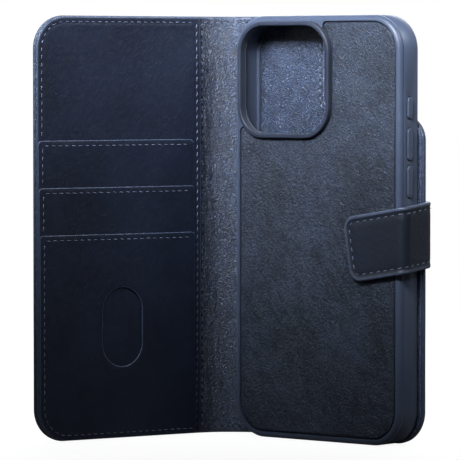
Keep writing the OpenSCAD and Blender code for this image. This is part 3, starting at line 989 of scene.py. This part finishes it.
SHELL_W = SHELL_HIGH[0] - SHELL_LOW[0]
SHELL_T = SHELL_HIGH[1] - SHELL_LOW[1]
SHELL_R = 13.5
camera_low, camera_high = box_mm("camera_rim")
cam_x0, cam_x1 = camera_low[0] - SHELL_LOW[0], camera_high[0] - SHELL_LOW[0]
cam_z0, cam_z1 = camera_low[2], camera_high[2]
RIM_TOP = SHELL_HIGH[1] - camera_low[1]
PLATE_DEPTH = SHELL_HIGH[1] - camera_high[1]
CAMERA_R = 12.5
CAMERA_WALL = 1.6
round_x0, round_x1 = cam_x0 + CAMERA_R, cam_x1 - CAMERA_R
round_z0, round_z1 = cam_z0 + CAMERA_R, cam_z1 - CAMERA_R
INLAY_IN = 2.7
FILLET = 1.7
GROOVE = 0.4
BARE = 4.3
inlay_low, inlay_high = box_mm("shell_leather_inlay")
inlay_face = SHELL_HIGH[1] - inlay_low[1]
inlay_back = SHELL_HIGH[1] - inlay_high[1]


def round_camera(reach, arcs, count):
    """Points round the camera's corners; an arc is its corner's x, z and two angles."""
    points = []
    for x, z, start, end in arcs:
        angles = np.linspace(start, end, count)
        points += [(x + reach * math.cos(a), z + reach * math.sin(a), 0) for a in angles]
    return points


def inlay_outline():
    """The back's leather, which leaves the corner round the camera bare."""
    right, top = SHELL_W - INLAY_IN, CASE_H - INLAY_IN
    corner = SHELL_R - INLAY_IN
    reach = CAMERA_R + GROOVE
    cut_x, cut_z = cam_x1 - BARE + GROOVE, cam_z0 + BARE - GROOVE
    arcs = [(round_x1, round_z1, math.acos((cut_x - round_x1) / reach), 0.0),
            (round_x1, round_z0, 0.0, -math.pi / 2),
            (round_x0, round_z0, -math.pi / 2, -math.pi + math.asin((round_z0 - cut_z) / reach))]
    return outline([(INLAY_IN, INLAY_IN, corner), (right, INLAY_IN, corner), (right, top, corner),
                    (cut_x, top, FILLET), *round_camera(reach, arcs, 22),
                    (INLAY_IN, cut_z, FILLET)])


def inlay_relief(x, z, distance):
    """The slight waves of leather that is stuck down."""
    return 0.035 * smooth((distance - 0.5) / 4) * (
        np.sin(x * 0.13 + 1.1) * np.sin(z * 0.07) + 0.5 * np.sin(x * 0.31 - z * 0.23))


inlay = plate("inlay_leather", [inlay_outline()],
              [(0.25, inlay_back), (0.02, inlay_back + 0.12), (0.0, inlay_face - 0.35),
               (0.1, inlay_face - 0.14), (0.35, inlay_face - 0.02), (0.8, inlay_face + 0.02),
               (2.2, inlay_face)], on_shell, step=(1.8, 1.8), relief=inlay_relief)
mount(inlay, "shell", INLAY, "inlay_leather", "shell_leather_inlay")


def from_cad(name, node, width, chosen):
    """A copy of a CAD node with sharp edges rounded off to a width in millimetres.

    chosen says from the middle of an edge, in millimetres, whether it is rounded."""
    mesh = frame["nodes"][node].data.copy()
    mesh.name = name
    work = bmesh.new()
    work.from_mesh(mesh)
    bmesh.ops.remove_doubles(work, verts=work.verts, dist=1e-6)
    bmesh.ops.dissolve_limit(work, angle_limit=math.radians(0.5), verts=work.verts,
                             edges=work.edges)
    sharp = [e for e in work.edges
             if len(e.link_faces) == 2 and e.calc_face_angle() > math.radians(50)]
    edges = [e for e in sharp if chosen((e.verts[0].co + e.verts[1].co) * 500)]
    bmesh.ops.bevel(work, geom=edges, offset=width / 1000, segments=3, profile=0.5,
                    affect="EDGES", clamp_overlap=True)
    bmesh.ops.triangulate(work, faces=[f for f in work.faces if len(f.verts) > 4])
    work.to_mesh(mesh)
    work.free()
    shade(mesh, 32)
    return add_object(name, mesh)


def solid_ring(name, loop, section):
    """A closed ring with a section of (inset, depth) corners along an outline of the shell."""
    rings = [on_shell(*inset(loop, distance).T, np.full(len(loop), depth))
             for distance, depth in section]
    n, m = len(loop), len(section)
    faces = [(k * n + i, k * n + (i + 1) % n, (k + 1) % m * n + (i + 1) % n, (k + 1) % m * n + i)
             for k in range(m) for i in range(n)]
    return build(name, np.vstack(rings), faces)


# The moulding seam is a fine V groove round the frame's outside
SEAM_DEPTH = SHELL_T - 2.3
SEAM_REACH = 0.5
frame_edge = rectangle(0, SHELL_W, 0, CASE_H, (SHELL_R,) * 4, arc_step=1.2, step=8)
cutter = solid_ring("seam_cutter", frame_edge,
                    [(-SEAM_REACH, SEAM_DEPTH - SEAM_REACH), (0.2, SEAM_DEPTH),
                     (-SEAM_REACH, SEAM_DEPTH + SEAM_REACH)])
bumper = from_cad("shell_frame", "shell_bumper", 0.25,
                  lambda p: SHELL_HIGH[1] - p.y < SHELL_T - 0.1)
trim = bumper.modifiers.new("seam", "BOOLEAN")
trim.object = cutter
trim.operation = "DIFFERENCE"
trim.solver = "EXACT"
trimmed = bpy.data.meshes.new_from_object(
    bumper.evaluated_get(bpy.context.evaluated_depsgraph_get()))
bumper.modifiers.clear()
bumper.data = trimmed
shade(trimmed, 32)
bpy.data.objects.remove(cutter)
mount(bumper, "shell", SHELL, "shell_plastic", "shell_bumper")

for control in ("action_button", "volume_up_button", "volume_down_button", "power_button"):
    cap = from_cad(f"{control}_cap", control, 0.32, lambda p: True)
    mount(cap, control, SHELL, "shell_plastic", control)

rim_outer = rectangle(cam_x0, cam_x1, cam_z0, cam_z1, (CAMERA_R,) * 4)
rim_inner = rectangle(cam_x0 + CAMERA_WALL, cam_x1 - CAMERA_WALL, cam_z0 + CAMERA_WALL,
                      cam_z1 - CAMERA_WALL, (CAMERA_R - CAMERA_WALL,) * 4)
ring = plate("camera_ring", [rim_outer, rim_inner[::-1]], rounded_rim(PLATE_DEPTH, RIM_TOP, 0.32),
             on_shell)
mount(ring, "shell", CAMERA_RIM, "shell_plastic", "camera_rim")

# The bare corner's distance from the shell's edge, and its overlaps with frame and ring
BORDER = 2.2
OVER = 0.3
PAST = 0.1


def bare_corner():
    """The flat corner beside the camera, with a hollow fillet at each end."""
    right, bottom = cam_x1 - BARE, cam_z0 + BARE
    reach = CAMERA_R + OVER
    fillet = FILLET + INLAY_IN - BORDER
    top = CASE_H - BORDER
    start_z, end_x = bottom - fillet - PAST, right + fillet + PAST
    arcs = [(round_x0, round_z0, math.pi + math.asin((round_z0 - bottom) / reach), math.pi),
            (round_x0, round_z1, math.pi, math.pi / 2),
            (round_x1, round_z1, math.pi / 2, math.acos((right - round_x1) / reach))]
    return outline([(BORDER - OVER, start_z, 0), (BORDER, start_z, 0), (BORDER, bottom, fillet),
                    *round_camera(reach, arcs, 16), (right, top, fillet), (end_x, top, 0),
                    (end_x, top + OVER, 0),
                    (BORDER - OVER, top + OVER, SHELL_R - BORDER + OVER)])


corner = plate("camera_corner", [bare_corner()], [(0, inlay_back), (0, SHELL_T + 0.01)], on_shell)
mount(corner, "shell", SHELL, "shell_plastic")

soft_low, soft_high = box_mm("shell_microfibre_lining")
PHONE_BACK = SHELL_HIGH[1] - soft_high[1]
PHONE_R = 11.0
PAD_GAP = 0.1
pad_edge = rectangle(soft_low[0] - SHELL_LOW[0] + PAD_GAP, soft_high[0] - SHELL_LOW[0] - PAD_GAP,
                     soft_low[2] + PAD_GAP, soft_high[2] - PAD_GAP, (PHONE_R,) * 4)
pad = plate("microfibre_pad", [pad_edge, rim_inner[::-1]],
            rounded_rim(PLATE_DEPTH, PHONE_BACK, 0.2), on_shell, step=(3, 3),
            relief=lambda x, z, d: 0.03 * np.sin(x * 0.37) * np.sin(z * 0.29) * smooth(d - 1))
mount(pad, "shell", MICROFIBRE, "microfibre", "shell_microfibre_lining")


# ---- Light, floor and view ----

VIEW_TURN = math.radians(39.71)
VIEW_DOWN = math.radians(2.43)
VIEW_FROM = 1.4857
LENS = 300.8
right_way = Vector((math.cos(VIEW_TURN), math.sin(VIEW_TURN), 0))
look = Vector((-math.sin(VIEW_TURN) * math.cos(VIEW_DOWN),
               math.cos(VIEW_TURN) * math.cos(VIEW_DOWN), -math.sin(VIEW_DOWN)))
aim = Vector((0, 0, 0.083)) + right_way * -0.0007
camera_data = bpy.data.cameras.new("view")
camera_data.lens = LENS
camera_data.sensor_width = 36
camera_data.clip_end = 20
camera = add_object("view", camera_data)
camera.location = aim - look * VIEW_FROM
camera.rotation_euler = look.to_track_quat("-Z", "Y").to_euler()
bpy.context.scene.camera = camera


def backdrop():
    """A pale floor that curves up into a wall far behind."""
    back, bend, top, side = 2.5, 1.2, 5.0, 4.0
    steps = [(reach, 0.0) for reach in np.linspace(-back, back, 9)]
    steps += [(back + bend * math.sin(a), bend * (1 - math.cos(a)))
              for a in np.linspace(0, math.pi / 2, 12)[1:]]
    steps.append((back + bend, top))
    away = Vector((look.x, look.y, 0)).normalized()
    points = [away * reach + right_way * across + Vector((0, 0, height - 0.0002))
              for reach, height in steps for across in (-side, side)]
    faces = [(k, k + 1, k + 3, k + 2) for k in range(0, len(points) - 2, 2)]
    mesh = bpy.data.meshes.new("backdrop")
    mesh.from_pydata(points, [], faces)
    mesh.polygons.foreach_set("use_smooth", [True] * len(faces))
    thing = add_object("backdrop", mesh)

    # The camera sees the floor pale, and the case gets little light back from it; near the case the floor glows a
    # little less, as a painted contact shadow.
    n = Nodes("pale_floor")
    seen = n.add("ShaderNodeLightPath").outputs["Is Camera Ray"]
    reach = n.add("ShaderNodeVectorMath", {0: n.coordinates("Object")},
                  operation="LENGTH").outputs["Value"]
    # Painted shadow: the glow dims towards the case.
    glow_with_painted_shadow = n.remap(reach, 0.06, 0.30, 0.93, 1.0)
    mesh.materials.append(n.surface({
        "Base Color": n.mix(seen, (0.22,) * 3, (0.16,) * 3), "Roughness": 0.9,
        "Specular IOR Level": 0.0, "Emission Color": (1, 1, 1, 1),
        "Emission Strength": n.maths("MULTIPLY", glow_with_painted_shadow, seen)}))


def area_light(name, place, size, power, target=(0, 0, 0.09), spread=180):
    """A soft light; place is its distance to the right of, toward and above the view."""
    data = bpy.data.lights.new(name, "AREA")
    data.shape = "RECTANGLE"
    data.size, data.size_y = size
    data.energy = power
    data.spread = math.radians(spread)
    data.color = (0.86, 0.92, 1.0)
    thing = add_object(name, data)
    side, toward, up = place
    near = Vector((-look.x, -look.y, 0)).normalized()
    thing.location = right_way * side + near * toward + Vector((0, 0, up))
    aim_at = Vector(target) - thing.location
    thing.rotation_euler = aim_at.to_track_quat("-Z", "Y").to_euler()


def studio_world():
    """Plain surroundings, white to the camera and dim to everything else."""
    world = bpy.data.worlds.new("studio")
    world.use_nodes = True
    tree = world.node_tree
    background = tree.nodes["Background"]
    background.inputs[0].default_value = (0.95, 0.97, 1.0, 1)
    seen = tree.nodes.new("ShaderNodeLightPath").outputs["Is Camera Ray"]
    strength = tree.nodes.new("ShaderNodeMapRange")
    strength.inputs["To Min"].default_value = 0.032
    strength.inputs["To Max"].default_value = 1.0
    tree.links.new(seen, strength.inputs["Value"])
    tree.links.new(strength.outputs[0], background.inputs[1])
    bpy.context.scene.world = world


backdrop()
area_light("top_front", (-0.10, 0.20, 0.32), (0.34, 0.10), 0.80, target=(0, 0, 0.205), spread=54)
area_light("right_top", (0.34, 0.20, 0.46), (0.16, 0.16), 0.16, target=(0, 0, 0.20), spread=45)
area_light("left_side", (-0.55, 0.15, 0.3), (0.10, 0.30), 0.30)
area_light("right_rim", (0.45, -0.20, 0.20), (0.10, 0.30), 0.12)
area_light("behind", (0.1, -0.6, 0.42), (0.8, 0.3), 4.0)
studio_world()
bpy.context.scene.view_settings.view_transform = "Standard"
